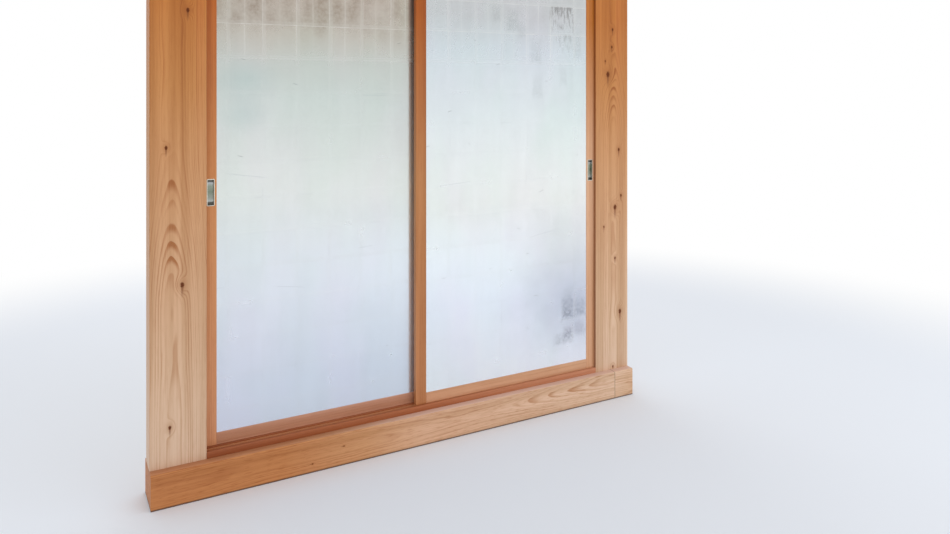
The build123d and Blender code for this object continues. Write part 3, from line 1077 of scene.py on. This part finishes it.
def pull_metal(node, facing):
    """A pull with a bright rim and a cup with painted shade, highlights and reflection; facing is -1
    for the front.
    """
    material, g, shader = new_material(f"{node}_metal", srgb(190, 188, 178))
    place = g.coordinates()
    brushed, cloud = metal_grain(g, place)
    low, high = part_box(node)
    _, y, z = g.split(place)

    # The rim ends and the cup begins between these depths behind the pull's outer face
    rim_end, cup_start = 0.0012, 0.003
    outside = low.y if facing < 0 else high.y
    depth = g.times(g.minus(y, outside), -facing)
    in_cup = g.step(depth, rim_end, cup_start)

    # Painted shade on the cup's end walls, painted highlights beside them, and a painted greenish
    # reflection darkest in the middle of its floor
    share = g.ratio(g.minus(z, low.z), high.z - low.z)
    cup_shade_and_glints = g.ramp(g.add(share, g.swing(cloud, 0.04)), (
        (0.04, srgb(34, 34, 26)),
        (0.13, srgb(52, 52, 42)),
        (0.17, srgb(172, 176, 172)),
        (0.30, srgb(146, 152, 140)),
        (0.52, srgb(116, 128, 108)),
        (0.74, srgb(138, 148, 132)),
        (0.85, srgb(176, 180, 182)),
        (0.89, srgb(62, 62, 54)),
        (0.96, srgb(34, 34, 26)),
    ))
    rim = g.mix(g.step(cloud, 0.35, 0.7), srgb(226, 218, 202), srgb(204, 196, 180))
    finish_metal(g, shader, g.mix(in_cup, rim, cup_shade_and_glints), brushed, cloud)
    dress(node, material)


def pin_metal():
    """Plain satin metal of the small pins."""
    material, g, shader = new_material("pin_metal", srgb(178, 176, 168))
    brushed, cloud = metal_grain(g, g.coordinates())
    colour = g.mix(g.step(cloud, 0.35, 0.7), srgb(190, 186, 176), srgb(160, 158, 150))
    finish_metal(g, shader, colour, brushed, cloud)
    for panel in panels:
        dress(f"{panel}_pull_pins", material)


def dress_pulls():
    """The pulls on both faces of both panels, and the pins that hold them."""
    for panel in panels:
        pull_metal(f"{panel}_front_pull", -1)
        pull_metal(f"{panel}_back_pull", 1)
    pin_metal()


def soften_edges():
    """Eased arrises on the wood and metal, well inside each piece's own box."""
    wood_width = 0.0006

    # Finer ones for the pulls with their pins and for the slip strips, by a word in the name
    fine_widths = {"pull": 0.00015, "strip": 0.0002}
    weld_reach = 0.00001
    sharper_than = math.radians(35)
    for name, piece in nodes.items():
        if "face" in name or "core" in name:
            continue
        weld = piece.modifiers.new("weld", "WELD")
        weld.merge_threshold = weld_reach
        ease = piece.modifiers.new("ease", "BEVEL")
        ease.width = next((width for key, width in fine_widths.items() if key in name), wood_width)
        ease.segments = 2
        ease.limit_method = "ANGLE"
        ease.angle_limit = sharper_than
        ease.harden_normals = False


# Floor, light and camera
floor_colour = srgb(236, 241, 249)
white = (1.0, 1.0, 1.0, 1.0)


def make_floor_mesh():
    """A round floor of rings that widen outward."""
    reach, rings, spokes, widening = 14.0, 48, 96, 1.6
    points = [origin]
    for ring in range(rings):
        radius = reach * ((ring + 1) / rings) ** widening
        for spoke in range(spokes):
            turn = 2 * math.pi * spoke / spokes
            points.append((radius * math.cos(turn), radius * math.sin(turn), 0.0))
    faces = [(0, 1 + spoke, 1 + (spoke + 1) % spokes) for spoke in range(spokes)]
    for ring in range(rings - 1):
        start, after = 1 + ring * spokes, 1 + (ring + 1) * spokes
        for spoke in range(spokes):
            step = (spoke + 1) % spokes
            faces.append((start + spoke, after + spoke, after + step, start + step))
    mesh = bpy.data.meshes.new("floor")
    mesh.from_pydata(points, [], faces)
    return mesh


def make_floor():
    """A pale floor that turns to plain white away from the panels.

    It does so at one distance for the eye, and further out for what the leaf mirrors.
    """
    mesh = make_floor_mesh()
    floor = bpy.data.objects.new("floor", mesh)
    bpy.context.scene.collection.objects.link(floor)

    seen_fade, mirrored_fade = (2.5, 4.3), (3.2, 8.5)
    material, g, shader = new_material("pale_floor", floor_colour)
    shader.inputs["Base Color"].default_value = floor_colour
    shader.inputs["Roughness"].default_value = 0.8
    glow = g.node("Emission")
    glow.inputs["Color"].default_value = white
    away = g.vector("LENGTH", g.coordinates())
    path = g.node("LightPath")
    seen = g.times(g.step(away, *seen_fade), path.outputs["Is Camera Ray"])
    mirrored = g.times(g.step(away, *mirrored_fade), path.outputs["Is Glossy Ray"])
    blend = g.node("MixShader")
    g.feed(blend.inputs[0], g.largest(seen, mirrored))
    g.feed(blend.inputs[1], shader.outputs[0])
    g.feed(blend.inputs[2], glow.outputs[0])
    g.feed(material.node_tree.nodes["Material Output"].inputs["Surface"], blend.outputs[0])
    mesh.materials.append(material)


def make_world():
    """An even white studio, plain white where the eye or a reflection meets it."""
    on_surfaces, when_seen = 0.8, 1.0
    world = bpy.data.worlds.new("studio")
    bpy.context.scene.world = world
    world.use_nodes = True
    g = Graph(world.node_tree)
    background = world.node_tree.nodes["Background"]
    path = g.node("LightPath").outputs
    seen = g.largest(path["Is Camera Ray"], path["Is Glossy Ray"], path["Is Transmission Ray"])
    background.inputs["Color"].default_value = white
    g.feed(background.inputs["Strength"], g.between(seen, on_surfaces, when_seen))


def make_lamp(name, place, target, size, power):
    """A soft rectangular lamp that lights the panels and isn't mirrored in them."""
    data = bpy.data.lights.new(name, "AREA")
    data.shape = "RECTANGLE"
    data.size, data.size_y = size
    data.energy = power
    lamp = bpy.data.objects.new(name, data)
    lamp.location = place
    lamp.rotation_euler = (Vector(target) - Vector(place)).to_track_quat("-Z", "Y").to_euler()
    lamp.visible_glossy = False
    lamp.visible_camera = False
    bpy.context.scene.collection.objects.link(lamp)


def make_lamps():
    """A wide low lamp at the front right, a weak one at the front left and one behind."""
    make_lamp("low_window", place=(2.6, -3.5, 1.25), target=(0.3, 0.0, 0.7), size=(5.0, 2.0), power=38)
    make_lamp("room_side", place=(-2.4, -4.2, 2.4), target=(0.0, 0.0, 1.0), size=(2.4, 2.0), power=10)
    make_lamp("behind", place=(0.5, 4.0, 3.0), target=(0.0, 0.0, 1.2), size=(3.0, 2.4), power=30)


def make_camera():
    """The photograph's viewpoint: eye height, turned to the right and shifted down."""
    picture_width = 950
    focal_pixels = 779
    horizon_row, middle_row = 90, 267
    eye = (-1.352, -2.852, 1.400)
    turn_right = math.radians(29.2)
    data = bpy.data.cameras.new("camera")
    data.sensor_width = 36.0
    data.lens = data.sensor_width * focal_pixels / picture_width
    data.shift_y = (horizon_row - middle_row) / picture_width
    camera = bpy.data.objects.new("camera", data)
    camera.location = eye
    camera.rotation_euler = (math.radians(90), 0.0, -turn_right)
    bpy.context.scene.collection.objects.link(camera)
    bpy.context.scene.camera = camera


dress_posts()
dress_beam()
dress_tracks()
dress_panel_wood()
dress_core()
dress_left_leaf()
dress_right_leaf()
backing_paper()
dress_pulls()
soften_edges()
make_floor()
make_world()
make_lamps()
make_camera()
bpy.context.scene.view_settings.view_transform = "Standard"
